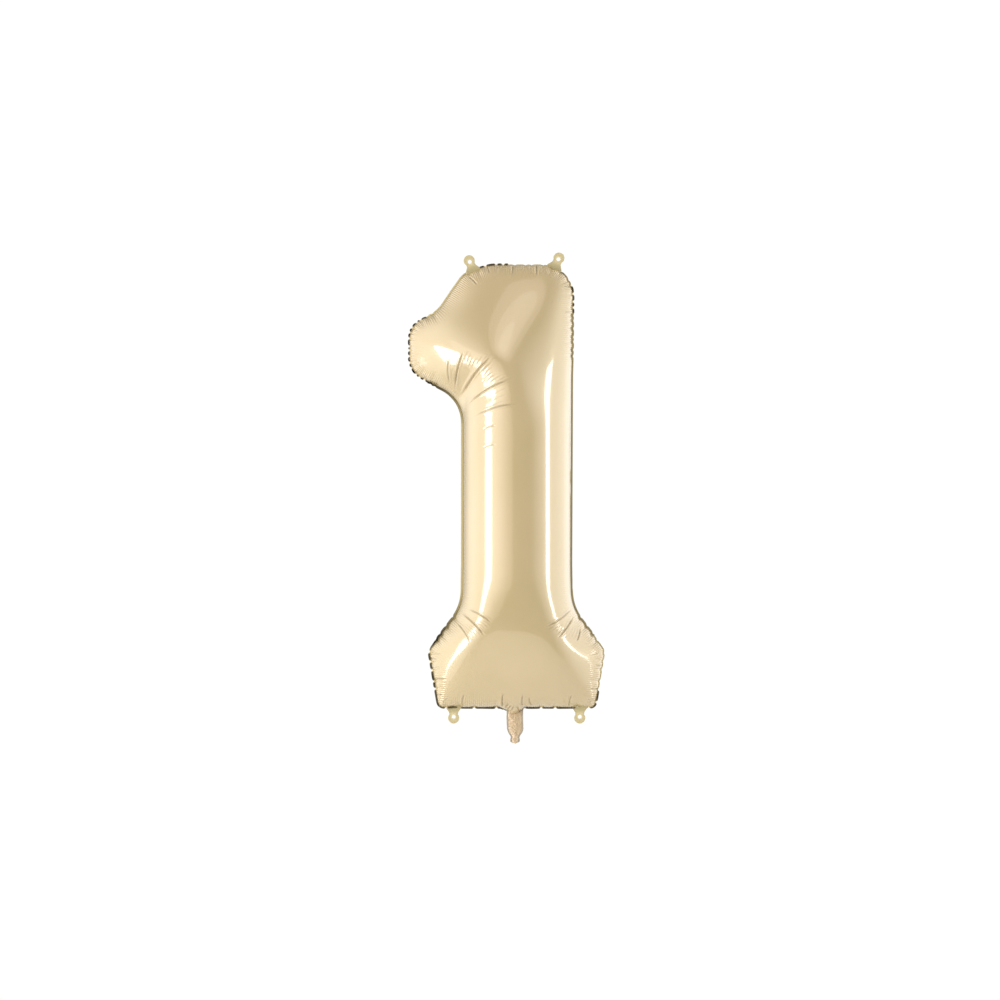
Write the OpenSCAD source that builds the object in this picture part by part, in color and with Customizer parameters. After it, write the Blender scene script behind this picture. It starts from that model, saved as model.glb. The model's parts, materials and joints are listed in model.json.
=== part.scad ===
// Foil number balloon: an inflated digit 1 with a heat-sealed border, four hanging tabs,
// a filling tail and the flat two-ply valve that closes it from inside.
// Millimetres. +Z is up, the front faces -Y, and the seam lies in the plane Y = 0.
// The origin is where the tail leaves the bottom edge of the border.

/* [Digit] */
// Height of the digit, over the border
digit_h = 802; // [770:1:830]
// Width of the stem, over the border
stem_w = 201.5; // [190:0.5:210]
// How far the stem's centre line lies to the right of the tail
stem_x = 3.5; // [0:0.5:8]
// Width of the foot at its bottom edge, over the border
foot_w = 286; // [270:1:300]
// How much wider each side of the foot is at its shoulders
foot_flare = 18; // [8:1:24]
// Height of the foot's shoulders
shoulder_z = 105; // [95:1:115]
// Height where the slopes of the foot meet the stem
foot_join_z = 187; // [175:1:200]
// How far the flag's tip reaches to the left of the tail
flag_reach = 193; // [180:1:200]
// Height where the flag's lower edge meets the stem
flag_join_z = 554; // [545:1:565]
// How full of gas the digit is: 1 makes the stem a round tube
fullness = 1; // [0.9:0.01:1]

/* [Film] */
// Thickness of a panel of film, as modelled
film_t = 0.8; // [0.6:0.1:1]
// Width of the heat-sealed border round the digit
border_w = 4.5; // [4:0.5:6]
// Thickness of two plies sealed together, as modelled
sealed_t = 0.8; // [0.6:0.1:1]

/* [Tabs] */
// Diameter of a hanging tab's round head
tab_head_d = 19; // [17:0.5:21]
// Diameter of the hole in a hanging tab
tab_hole_d = 7; // [5:0.5:8]
// Distance from a tab's fold to the centre of its hole
tab_reach = 13.5; // [12:0.5:16]
// How far the centre of a tab's head lies beyond its hole
tab_head_shift = 2.6; // [0:0.1:3]
// Width of a tab where it folds
tab_root_w = 15; // [12:0.5:16]

/* [Tail and valve] */
// Width of the tail
tail_w = 30; // [28:0.5:32]
// Length of the tail below the border
tail_len = 62; // [58:1:66]
// Width of the heat seal along each side of the tail
tail_seal_w = 2.4; // [2:0.1:3]
// Width of the mouth at the end of the tail
mouth_w = 18; // [17:0.5:20]
// Half of the gap that the tail's plies leave between them
tail_gap = 3.6; // [3:0.1:4.5]
// Width of the valve
valve_w = 22; // [18:1:24]
// How far the valve reaches into the digit
valve_len = 115; // [80:5:140]

/* [Hidden] */
$fn = 48;

cream = [0.90, 0.80, 0.62];
sealed_cream = [0.80, 0.72, 0.52];
blush = [0.88, 0.76, 0.62];
clear_film = [0.90, 0.92, 0.94, 0.6];

stem_left = stem_x - stem_w / 2;
stem_right = stem_x + stem_w / 2;
foot_left = stem_x - foot_w / 2;
foot_right = stem_x + foot_w / 2;

// The digit's corners, clockwise from the bottom left, as [x, z, rounding radius].
CORNERS = [
    [foot_left, 0, 14],
    [foot_left - foot_flare, shoulder_z, 20],
    [stem_left, foot_join_z, 85],
    [stem_left, flag_join_z, 65],
    [-flag_reach, flag_join_z + 52, 45],
    [-flag_reach, digit_h - 109, 42],
    [50 - flag_reach, digit_h - 86.5, 60],
    [stem_left + 4, digit_h - 17, 40],
    [stem_left + 49, digit_h, 90],
    [stem_right + 3, digit_h, 60],
    [stem_right, foot_join_z, 85],
    [foot_right + foot_flare, shoulder_z, 20],
    [foot_right, 0, 14]
];
ARC_STEPS = 8;

// Rows of the panels' mesh: close together near the two ends, and sparse along the stem.
END_ROWS = [for (i = [0:5]) pow(i / 5, 2) * 22];
LOWER_ROWS = [for (z = [36:14:218]) z];
STEM_ROWS = [for (z = [270:60:450]) z];
UPPER_ROWS = [for (z = [500:14:digit_h - 30]) z];
ROWS = concat(END_ROWS, LOWER_ROWS, STEM_ROWS, UPPER_ROWS,
              [for (i = [5:-1:0]) digit_h - END_ROWS[i]]);
COLUMNS = 20;

// A tab folds on a line this far outside the border, so that it clears it.
fold_gap = sealed_t / 2 + 0.3;
// Where each tab folds, as [x, z, lean to the right of straight up in degrees].
UPPER_LEFT_TAB = [-76.8, digit_h - 9.9, -21];
UPPER_RIGHT_TAB = [72.4, digit_h - 4.7, 25];
LOWER_LEFT_TAB = [-110.5, -fold_gap, 180];
LOWER_RIGHT_TAB = [116.5, -fold_gap, 180];

tail_ply_t = 0.5;
tail_fold_z = -tail_ply_t - 0.3;
// Half-width of the tail along its length, as [depth below its fold, half-width].
TAIL_OUTLINE = [[0, tail_w / 2], [tail_len * 0.58, tail_w / 2], [tail_len * 0.68, tail_w * 0.45],
                [tail_len * 0.76, tail_w * 0.33], [tail_len * 0.81, mouth_w * 0.45],
                [tail_len * 0.91, mouth_w / 2], [tail_len + tail_fold_z, mouth_w * 0.45]];
TAIL_ROWS = [for (i = [0:15]) (tail_len + tail_fold_z) * i / 15];
TAIL_COLUMNS = 12;

valve_ply_t = 0.3;
valve_hinge_z = 12;
valve_gap = 0.1;

// --- Outline of the digit, as points [x, z] ---

function unit(v) = v / norm(v);
function turned(v) = [v[1], -v[0]];
function cross2(a, b) = a[0] * b[1] - a[1] * b[0];
function corner(i) = let (c = CORNERS[(i + len(CORNERS)) % len(CORNERS)]) [c[0], c[1]];
function heading(i) = unit(corner(i + 1) - corner(i));

// Corner i moved inwards by inset, with its radius grown at an inner corner and cut at an outer one.
function inset_corner(i, inset) =
    let (a = turned(heading(i - 1)), b = turned(heading(i)))
    corner(i) + inset * (a + b) / (1 + a * b);
function inset_radius(i, inset) =
    CORNERS[i][2] + inset * sign(cross2(heading(i - 1), heading(i)));

function rounded(i, inset) =
    let (into = heading(i - 1),
         out = heading(i),
         way = sign(cross2(into, out)),
         r = inset_radius(i, inset),
         bend = acos(into * out),
         start = inset_corner(i, inset) - into * r * tan(bend / 2),
         centre = start - way * turned(into) * r,
         first = atan2(start[1] - centre[1], start[0] - centre[0]))
    [for (k = [0:ARC_STEPS])
        let (a = first + way * bend * k / ARC_STEPS)
        centre + r * [cos(a), sin(a)]];

function outline(inset) = [for (i = [0:len(CORNERS) - 1]) each rounded(i, inset)];

// Where a level line at height z crosses the outline: [leftmost x, rightmost x].
function crossings(line, z) =
    [for (i = [0:len(line) - 1])
        let (a = line[i], b = line[(i + 1) % len(line)])
        if ((a[1] > z) != (b[1] > z)) a[0] + (b[0] - a[0]) * (z - a[1]) / (b[1] - a[1])];
function span(line, z) = let (x = crossings(line, z)) [min(x), max(x)];

// --- Inflated surface ---

// The integral of 1 / distance^2 along one straight piece of the rim, seen from p.
function pull(p, a, b) =
    let (u = a - p, v = b - p, twist = abs(cross2(u, v)), reach = norm(b - a))
    twist < 1e-6 ? reach / (norm(u) * norm(v)) : atan2(twist, u * v) * PI / 180 * reach / twist;
function rim_pull(p, rim) =
    [for (i = [0:len(rim) - 1]) pull(p, rim[i], rim[(i + 1) % len(rim)])] *
    [for (i = [0:len(rim) - 1]) 1];

// Square of the bulge at p. It is a half circle across a straight strip of the stem's width.
function bulge_squared(p, rim) = fullness * (stem_w - 2 * border_w) * PI / rim_pull(p, rim);

function spread(k, n) = -cos(180 * k / n);

// One face of a panel: rows of points from the bottom to the top, with the rim in the plane Y = 0.
function panel_face(rim, edge, depth, deep) =
    let (n = len(ROWS) - 1)
    [for (i = [0:n])
        let (inside = border_w + depth,
             z = inside + (digit_h - 2 * inside) * ROWS[i] / digit_h,
             ends = span(edge, min(max(z, inside + 0.001), digit_h - inside - 0.001)))
        for (k = [0:COLUMNS])
            let (x = (ends[0] + ends[1]) / 2 + (ends[1] - ends[0]) / 2 * spread(k, COLUMNS),
                 on_rim = i == 0 || i == n || k == 0 || k == COLUMNS)
            [x, on_rim ? 0 : -sqrt(max(bulge_squared([x, z], rim) - deep, 0.04)), z]];

// The faces of a shell made from an outer and an inner grid of (rows) by (columns) points.
function grid_faces(rows, columns, first, outwards) =
    [for (i = [0:rows - 2]) for (k = [0:columns - 2])
        let (a = first + i * columns + k, quad = [a, a + 1, a + columns + 1, a + columns])
        for (t = [[quad[0], quad[1], quad[2]], [quad[0], quad[2], quad[3]]])
            outwards ? [t[2], t[1], t[0]] : t];
function rim_of(rows, columns) = concat(
    [for (k = [0:columns - 1]) k],
    [for (i = [1:rows - 1]) i * columns + columns - 1],
    [for (k = [columns - 2:-1:0]) (rows - 1) * columns + k],
    [for (i = [rows - 2:-1:1]) i * columns]);
function rim_faces(rows, columns) =
    let (rim = rim_of(rows, columns), shift = rows * columns)
    [for (j = [0:len(rim) - 1])
        let (a = rim[j], b = rim[(j + 1) % len(rim)])
        for (t = [[a, b, b + shift], [a, b + shift, a + shift]]) [t[2], t[1], t[0]]];
function shell_faces(rows, columns) = concat(
    grid_faces(rows, columns, 0, true),
    grid_faces(rows, columns, rows * columns, false),
    rim_faces(rows, columns));

module bulged_panel() {
    rim = outline(border_w);
    outer = panel_face(rim, rim, 0, 0);
    inner = panel_face(rim, outline(border_w + film_t), film_t,
                       fullness * (stem_w - 2 * border_w) * film_t);
    difference() {
        polyhedron(concat(outer, inner), shell_faces(len(ROWS), COLUMNS + 1));
        neck_passage();
    }
}

// The gap that the border and the panels leave for the valve, where the tail joins.
module neck_passage() {
    translate([-neck_half_w(), -sealed_t / 2, -1])
        cube([2 * neck_half_w(), sealed_t, border_w + film_t + 3]);
}
function neck_half_w() = tail_w / 2 - tail_seal_w;

// --- Modules, one per piece ---

module front_panel() {
    color(cream) bulged_panel();
}

module rear_panel() {
    color(cream) mirror([0, 1, 0]) bulged_panel();
}

module seam_border() {
    color(sealed_cream)
        difference() {
            translate([0, sealed_t / 2, 0]) rotate([90, 0, 0]) linear_extrude(sealed_t)
                difference() {
                    polygon(outline(0));
                    polygon(outline(border_w));
                }
            neck_passage();
        }
}

module tab_outline() {
    head = tab_reach + tab_head_shift;
    waist = tab_root_w * 0.42;
    translate([0, head]) circle(d = tab_head_d);
    polygon([[-tab_root_w / 2, 0], [tab_root_w / 2, 0], [waist, tab_reach * 0.3],
             [waist, tab_reach * 0.6], [tab_head_d * 0.47, head],
             [-tab_head_d * 0.47, head], [-waist, tab_reach * 0.6], [-waist, tab_reach * 0.3]]);
}

// A hanging tab, upright on its fold line, which is rounded so that it can turn there.
module hanging_tab(place) {
    color(sealed_cream)
        translate([place[0], 0, place[1]]) rotate([0, place[2], 0])
            difference() {
                union() {
                    translate([0, sealed_t / 2, 0]) rotate([90, 0, 0])
                        linear_extrude(sealed_t) tab_outline();
                    rotate([0, 90, 0]) cylinder(d = sealed_t, h = tab_root_w, center = true);
                }
                translate([0, 0, tab_reach]) rotate([90, 0, 0])
                    cylinder(d = tab_hole_d, h = 4 * sealed_t, center = true);
            }
}

module upper_left_tab() {
    hanging_tab(UPPER_LEFT_TAB);
}

module upper_right_tab() {
    hanging_tab(UPPER_RIGHT_TAB);
}

module lower_left_tab() {
    hanging_tab(LOWER_LEFT_TAB);
}

module lower_right_tab() {
    hanging_tab(LOWER_RIGHT_TAB);
}

function tail_half_w(depth) = lookup(depth, TAIL_OUTLINE);
// Half of the gap between the plies on the tail's centre line: none at the fold.
function tail_open(depth) = tail_gap * min(max((depth - 1.5) / 9, 0), 1);
function tail_lens(x, depth) =
    let (inner = tail_half_w(depth) - tail_seal_w)
    abs(x) >= inner ? 0 : tail_open(depth) * (1 - pow(x / inner, 2));

function tail_face(extra) =
    [for (depth = TAIL_ROWS) for (k = [0:TAIL_COLUMNS])
        let (x = tail_half_w(depth) * (2 * k / TAIL_COLUMNS - 1))
        [x, -tail_lens(x, depth) - extra, tail_fold_z - depth]];

// One ply of the tail, rounded along its fold line. The two plies meet along their side seals.
module tail_ply() {
    polyhedron(concat(tail_face(tail_ply_t), tail_face(0)),
               [for (f = shell_faces(len(TAIL_ROWS), TAIL_COLUMNS + 1)) [f[2], f[1], f[0]]]);
    intersection() {
        translate([0, 0, tail_fold_z]) rotate([0, 90, 0])
            cylinder(r = tail_ply_t, h = tail_w, center = true);
        translate([-tail_w / 2, -tail_ply_t, tail_fold_z])
            cube([tail_w, tail_ply_t, tail_ply_t]);
    }
}

module tail_front_ply() {
    color(blush) tail_ply();
}

module tail_rear_ply() {
    color(blush) mirror([0, 1, 0]) tail_ply();
}

// The stretch of the valve that is sealed inside the tail.
module valve_inlet_ply() {
    inlet_top = -6;
    inlet_bottom = -tail_len * 0.64;
    translate([-valve_w * 0.4, -valve_gap - 2 * valve_ply_t, inlet_bottom])
        cube([valve_w * 0.8, valve_ply_t, inlet_top - inlet_bottom]);
}

module valve_inlet_front_ply() {
    color(clear_film) valve_inlet_ply();
}

module valve_inlet_rear_ply() {
    color(clear_film) mirror([0, 1, 0]) valve_inlet_ply();
}

// The stretch of the valve that is sealed between the panels, where the tail joins.
module valve_collar() {
    bottom_gap = 0.2;
    top_gap = 0.8;
    color(clear_film)
        translate([-neck_half_w(), -sealed_t / 2, bottom_gap])
            cube([2 * neck_half_w(), sealed_t, valve_hinge_z - top_gap - bottom_gap]);
}

// A ply of the valve inside the digit, with a slanted free end and a rounded fold.
module valve_ply(side) {
    translate([0, side * (valve_gap + valve_ply_t) / 2, 0]) {
        translate([0, valve_ply_t / 2, 0]) rotate([90, 0, 0]) linear_extrude(valve_ply_t)
            polygon([[-valve_w / 2, valve_hinge_z], [valve_w / 2, valve_hinge_z],
                     [valve_w / 2, valve_len - 6], [-valve_w / 2, valve_len]]);
        translate([0, 0, valve_hinge_z]) rotate([0, 90, 0])
            cylinder(d = valve_ply_t, h = valve_w, center = true);
    }
}

module valve_front_ply() {
    color(clear_film) valve_ply(-1);
}

module valve_rear_ply() {
    color(clear_film) valve_ply(1);
}

front_panel();
rear_panel();
seam_border();
upper_left_tab();
upper_right_tab();
lower_left_tab();
lower_right_tab();
tail_front_ply();
tail_rear_ply();
valve_inlet_front_ply();
valve_inlet_rear_ply();
valve_collar();
valve_front_ply();
valve_rear_ply();
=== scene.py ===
"""Looks of a foil number balloon, a figure one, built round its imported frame.

Two sheets of lacquered foil are cut flat, welded along a border and blown up by cloth simulation.
The border's frill, the puckers and the long creases are then pressed into the film, and the four
hanging tabs, the filling tail and the valve are added. Metres, +Z up, and the front faces -Y.
"""
import json
import logging
import math
from dataclasses import dataclass, field
from enum import Enum
from typing import Iterable, Sequence

import bpy
import numpy as np
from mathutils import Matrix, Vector, noise
from mathutils.geometry import delaunay_2d_cdt


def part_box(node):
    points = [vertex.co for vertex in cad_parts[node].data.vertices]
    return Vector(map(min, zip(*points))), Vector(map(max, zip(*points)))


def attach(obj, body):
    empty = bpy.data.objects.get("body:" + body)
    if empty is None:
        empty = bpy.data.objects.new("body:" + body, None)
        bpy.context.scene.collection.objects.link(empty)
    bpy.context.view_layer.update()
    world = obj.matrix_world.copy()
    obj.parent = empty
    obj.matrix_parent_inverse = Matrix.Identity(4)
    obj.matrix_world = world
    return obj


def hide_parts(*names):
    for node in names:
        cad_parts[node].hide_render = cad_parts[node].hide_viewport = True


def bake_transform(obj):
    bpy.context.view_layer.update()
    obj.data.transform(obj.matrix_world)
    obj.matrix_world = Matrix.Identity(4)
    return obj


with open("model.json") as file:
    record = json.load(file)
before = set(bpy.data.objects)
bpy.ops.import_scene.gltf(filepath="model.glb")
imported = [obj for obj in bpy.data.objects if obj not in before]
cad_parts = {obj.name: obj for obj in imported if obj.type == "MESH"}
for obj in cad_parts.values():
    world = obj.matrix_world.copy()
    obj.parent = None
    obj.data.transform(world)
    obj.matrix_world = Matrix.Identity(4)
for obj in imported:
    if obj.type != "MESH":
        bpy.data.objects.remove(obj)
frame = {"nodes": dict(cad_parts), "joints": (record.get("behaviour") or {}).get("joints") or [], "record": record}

LOG = logging.getLogger("balloon")
MM = 0.001
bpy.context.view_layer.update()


# --- Small tools -------------------------------------------------------------------------------


def linear(hex_code: str) -> tuple[float, float, float, float]:
    """Turn an sRGB hex colour into linear light.

    Args:
        hex_code: Six hex digits, such as "D9C69B".

    Returns:
        Red, green, blue and an alpha of 1, in linear light.
    """
    channels = [int(hex_code[i:i + 2], 16) / 255 for i in (0, 2, 4)]
    light = [c / 12.92 if c <= 0.04045 else ((c + 0.055) / 1.055) ** 2.4 for c in channels]
    return (light[0], light[1], light[2], 1.0)


def add_node(
    tree: bpy.types.NodeTree,
    kind: str,
    settings: dict[str, object] | None = None,
    inputs: dict[str | int, object] | None = None,
    links: dict[str | int, bpy.types.NodeSocket] | None = None,
) -> bpy.types.Node:
    """Add one node with its settings, socket values and incoming links.

    Args:
        tree: The node tree that takes the node.
        kind: The node's type name.
        settings: Node properties by name.
        inputs: Values of input sockets by name or index.
        links: Output sockets to join to input sockets, by name or index.

    Returns:
        The new node.
    """
    node = tree.nodes.new(kind)
    for name, value in (settings or {}).items():
        setattr(node, name, value)
    for name, value in (inputs or {}).items():
        node.inputs[name].default_value = value
    for name, socket in (links or {}).items():
        tree.links.new(socket, node.inputs[name])
    return node


def deselect() -> None:
    """Leave edit mode and select nothing."""
    if bpy.context.object and bpy.context.object.mode != "OBJECT":
        bpy.ops.object.mode_set(mode="OBJECT")
    bpy.ops.object.select_all(action="DESELECT")


def activate(piece: bpy.types.Object) -> None:
    """Select one object alone and make it the active one."""
    deselect()
    piece.select_set(True)
    bpy.context.view_layer.objects.active = piece


def apply_modifiers(piece: bpy.types.Object) -> None:
    """Apply every modifier of a piece, in order."""
    activate(piece)
    for modifier in list(piece.modifiers):
        bpy.ops.object.modifier_apply(modifier=modifier.name)


def mesh_object(name: str, points: Iterable[Sequence[float]],
                faces: Iterable[Sequence[int]]) -> bpy.types.Object:
    """Make a smooth-shaded mesh object at the origin.

    Args:
        name: The object's and the mesh's name.
        points: Its vertices, in metres.
        faces: Its faces, as vertex numbers.

    Returns:
        The new object, linked to the scene.
    """
    mesh = bpy.data.meshes.new(name)
    mesh.from_pydata([tuple(map(float, p)) for p in points], [], [tuple(map(int, f)) for f in faces])
    mesh.update()
    piece = bpy.data.objects.new(name, mesh)
    bpy.context.scene.collection.objects.link(piece)
    mesh.polygons.foreach_set("use_smooth", [True] * len(mesh.polygons))
    return piece


def points_of(piece: bpy.types.Object) -> np.ndarray:
    """Return the vertices of a piece's mesh as an array of rows."""
    flat = np.empty(len(piece.data.vertices) * 3)
    piece.data.vertices.foreach_get("co", flat)
    return flat.reshape(-1, 3)


def move_points(piece: bpy.types.Object, points: np.ndarray) -> None:
    """Give a piece's vertices new places."""
    piece.data.vertices.foreach_set("co", np.asarray(points, np.float32).ravel())
    piece.data.update()


def paint(piece: bpy.types.Object, name: str, values: np.ndarray) -> None:
    """Store one number per vertex for a material to read.

    Args:
        piece: The mesh object.
        name: The attribute's name.
        values: One value per vertex.
    """
    layer = piece.data.attributes.new(name, "FLOAT", "POINT")
    layer.data.foreach_set("value", np.asarray(values, np.float32))


def dress(piece: bpy.types.Object, material: bpy.types.Material) -> None:
    """Give a piece its only material."""
    piece.data.materials.clear()
    piece.data.materials.append(material)


# --- Finishes ----------------------------------------------------------------------------------


@dataclass(frozen=True)
class LacqueredFoil:
    """Metallised polyester film with an opaque cream lacquer.

    The lacquer hides most of the metal, which leaves a smooth body colour that brightens towards
    grazing angles, under a hard gloss that mirrors the lights as clean strips. Painted shade darkens
    the colour inside the creases.
    """

    body: str = "BEA97A"
    warm_body: str = "C4AE83"
    # The colour of the painted shade inside the creases.
    fold: str = "8A7440"
    # The fine pleats stand 3.6 mm apart and 0.5 mm high.
    pleat_pitch: float = 3.6 * MM
    pleat_height: float = 0.5 * MM
    cloud_size: float = 160 * MM

    def make(self) -> bpy.types.Material:
        """Build the material.

        Returns:
            The foil's material, which reads the seam map and the pleat attribute.
        """
        material = bpy.data.materials.new("lacquered_metallised_film")
        material.use_nodes = True
        tree = material.node_tree
        tree.nodes.clear()
        place = add_node(tree, "ShaderNodeTexCoord")
        cloud = add_node(tree, "ShaderNodeTexNoise", inputs={"Scale": 1 / self.cloud_size, "Detail": 2.0},
                         links={"Vector": place.outputs["Object"]})
        colour = add_node(tree, "ShaderNodeValToRGB", links={"Fac": cloud.outputs["Fac"]})
        colour.color_ramp.elements[0].position = 0.35
        colour.color_ramp.elements[0].color = linear(self.body)
        colour.color_ramp.elements[1].position = 0.7
        colour.color_ramp.elements[1].color = linear(self.warm_body)
        # Painted shade: the crease attribute mixes the body colour towards the fold colour along each crease.
        crease = add_node(tree, "ShaderNodeAttribute", settings={"attribute_name": "crease"})
        lacquer = add_node(tree, "ShaderNodeMix", settings={"data_type": "RGBA"},
                           inputs={7: linear(self.fold)},
                           links={0: crease.outputs["Fac"], 6: colour.outputs["Color"]})
        seam = add_node(tree, "ShaderNodeUVMap", settings={"uv_map": "seam"})
        pleats = add_node(tree, "ShaderNodeTexWave",
                          settings={"wave_type": "BANDS", "bands_direction": "X", "wave_profile": "SIN"},
                          inputs={"Scale": math.pi / (10 * self.pleat_pitch), "Distortion": 2.2,
                                  "Detail": 1.0, "Detail Scale": 0.3},
                          links={"Vector": seam.outputs["UV"]})
        amount = add_node(tree, "ShaderNodeAttribute", settings={"attribute_name": "pleat"})
        height = add_node(tree, "ShaderNodeMath", settings={"operation": "MULTIPLY"},
                          links={0: pleats.outputs["Fac"], 1: amount.outputs["Fac"]})
        relief = add_node(tree, "ShaderNodeBump", inputs={"Strength": 1.0, "Distance": self.pleat_height},
                          links={"Height": height.outputs["Value"]})
        shader = add_node(tree, "ShaderNodeBsdfPrincipled",
                          inputs={"Metallic": 0.1, "Roughness": 0.2, "IOR": 1.5,
                                  "Coat Weight": 1.0, "Coat Roughness": 0.02, "Coat IOR": 1.8},
                          links={"Base Color": lacquer.outputs[2], "Normal": relief.outputs["Normal"],
                                 "Coat Normal": relief.outputs["Normal"]})
        add_node(tree, "ShaderNodeOutputMaterial", links={"Surface": shader.outputs["BSDF"]})
        return material


@dataclass(frozen=True)
class WeldedFilm:
    """Two plies of the film heat-sealed flat, seen on the border and the hanging tabs.

    The weld crushes the lacquer, so the bare metallised film shows through as an olive gold. Painted
    dark reflection darkens it nearly to black where the frill curls away, and painted shade darkens
    the tabs towards their roots; it is paler where it is pinched in.
    """

    gold: str = "D0C294"
    # The colour of the painted dark reflection and shade.
    dark: str = "0E0A02"
    pale: str = "E9DAB4"
    knurl_pitch: float = 1.1 * MM

    def make(self) -> bpy.types.Material:
        """Build the material.

        Returns:
            The weld's material, which reads the attribute of painted dark reflection and shade, and the
            pinch attribute.
        """
        material = bpy.data.materials.new("heat_sealed_film")
        material.use_nodes = True
        tree = material.node_tree
        tree.nodes.clear()
        place = add_node(tree, "ShaderNodeTexCoord")
        # Painted dark reflection on the curled frill and painted shade at the tabs' roots, read from this
        # attribute.
        painted_darkening = add_node(tree, "ShaderNodeAttribute", settings={"attribute_name": "painted_darkening"})
        pinch = add_node(tree, "ShaderNodeAttribute", settings={"attribute_name": "pinch"})
        gold_with_painted_dark = add_node(tree, "ShaderNodeMix", settings={"data_type": "RGBA"},
                          inputs={6: linear(self.gold), 7: linear(self.dark)},
                          links={0: painted_darkening.outputs["Fac"]})
        colour = add_node(tree, "ShaderNodeMix", settings={"data_type": "RGBA"},
                          inputs={7: linear(self.pale)},
                          links={0: pinch.outputs["Fac"], 6: gold_with_painted_dark.outputs[2]})
        knurl = add_node(tree, "ShaderNodeTexNoise",
                         inputs={"Scale": 1 / (2 * self.knurl_pitch), "Detail": 2.0},
                         links={"Vector": place.outputs["Object"]})
        relief = add_node(tree, "ShaderNodeBump", inputs={"Strength": 0.35, "Distance": 0.2 * MM},
                          links={"Height": knurl.outputs["Fac"]})
        shader = add_node(tree, "ShaderNodeBsdfPrincipled",
                          inputs={"Metallic": 0.0, "Roughness": 0.42, "IOR": 1.4,
                                  "Specular IOR Level": 0.2},
                          links={"Base Color": colour.outputs[2], "Normal": relief.outputs["Normal"]})
        add_node(tree, "ShaderNodeOutputMaterial", links={"Surface": shader.outputs["BSDF"]})
        return material


@dataclass(frozen=True)
class TailFilm:
    """The tail's thin film, crumpled and blush, with painted shade along the crumples and greyer
    heat-sealed edges.
    """

    blush: str = "C6AE8A"
    shade: str = "A08761"
    seal: str = "ABA08C"
    crumple_size: float = 4.5 * MM

    def make(self) -> bpy.types.Material:
        """Build the material.

        Returns:
            The tail's material, which reads the seal attribute.
        """
        material = bpy.data.materials.new("crumpled_tail_film")
        material.use_nodes = True
        tree = material.node_tree
        tree.nodes.clear()
        place = add_node(tree, "ShaderNodeTexCoord")
        crumple = add_node(tree, "ShaderNodeTexNoise",
                           settings={"noise_type": "RIDGED_MULTIFRACTAL"},
                           inputs={"Scale": 1 / self.crumple_size, "Detail": 3.0, "Distortion": 0.6},
                           links={"Vector": place.outputs["Object"]})
        # Painted shade: the colour darkens with the same crumple noise that makes the bump.
        body = add_node(tree, "ShaderNodeMix", settings={"data_type": "RGBA"},
                        inputs={6: linear(self.blush), 7: linear(self.shade)},
                        links={0: crumple.outputs["Fac"]})
        seal = add_node(tree, "ShaderNodeAttribute", settings={"attribute_name": "seal"})
        colour = add_node(tree, "ShaderNodeMix", settings={"data_type": "RGBA"},
                          inputs={7: linear(self.seal)},
                          links={0: seal.outputs["Fac"], 6: body.outputs[2]})
        relief = add_node(tree, "ShaderNodeBump", inputs={"Strength": 1.0, "Distance": 0.9 * MM},
                          links={"Height": crumple.outputs["Fac"]})
        shader = add_node(tree, "ShaderNodeBsdfPrincipled",
                          inputs={"Metallic": 0.1, "Roughness": 0.35, "IOR": 1.5,
                                  "Coat Weight": 0.5, "Coat Roughness": 0.12},
                          links={"Base Color": colour.outputs[2], "Normal": relief.outputs["Normal"]})
        add_node(tree, "ShaderNodeOutputMaterial", links={"Surface": shader.outputs["BSDF"]})
        return material


@dataclass(frozen=True)
class ValveFilm:
    """Clear blown polyethylene, faintly milky, with a printed band that stops it sealing shut."""

    clear: str = "E4E8EA"
    print_ink: str = "9FB4C4"
    band_height: float = 9 * MM

    def make(self) -> bpy.types.Material:
        """Build the material.

        Returns:
            The valve's material.
        """
        material = bpy.data.materials.new("clear_polyethylene_film")
        material.use_nodes = True
        tree = material.node_tree
        tree.nodes.clear()
        place = add_node(tree, "ShaderNodeTexCoord")
        split = add_node(tree, "ShaderNodeSeparateXYZ", links={"Vector": place.outputs["Object"]})
        band = add_node(tree, "ShaderNodeMath", settings={"operation": "COMPARE"},
                        inputs={1: self.band_height, 2: self.band_height},
                        links={0: split.outputs["Z"]})
        streaks = add_node(tree, "ShaderNodeTexNoise", inputs={"Scale": 1 / (6 * MM), "Detail": 2.0},
                           links={"Vector": place.outputs["Object"]})
        colour = add_node(tree, "ShaderNodeMix", settings={"data_type": "RGBA"},
                          inputs={6: linear(self.clear), 7: linear(self.print_ink)},
                          links={0: band.outputs["Value"]})
        relief = add_node(tree, "ShaderNodeBump", inputs={"Strength": 0.3, "Distance": 0.2 * MM},
                          links={"Height": streaks.outputs["Fac"]})
        shader = add_node(tree, "ShaderNodeBsdfPrincipled",
                          inputs={"Roughness": 0.2, "IOR": 1.51, "Alpha": 0.55, "Coat Weight": 0.3},
                          links={"Base Color": colour.outputs[2], "Normal": relief.outputs["Normal"]})
        add_node(tree, "ShaderNodeOutputMaterial", links={"Surface": shader.outputs["BSDF"]})
        return material


# --- The digit's outline -----------------------------------------------------------------------


class Draw(Enum):
    """How far an edge of the flat cut is drawn in by inflating, as a share of the stem's width.

    A flat tube that turns round keeps its girth, so it loses the first share at each long side. An
    end or a short side can only gather, which is taken as a tenth.
    """

    ALONG = (math.pi / 2 - 1) / 2
    ACROSS = 0.1


@dataclass(frozen=True)
class Corner:
    """A corner of the digit, its rounding, and how the edge after it is drawn in."""

    x: float
    z: float
    radius: float
    draw: Draw = Draw.ACROSS


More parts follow.
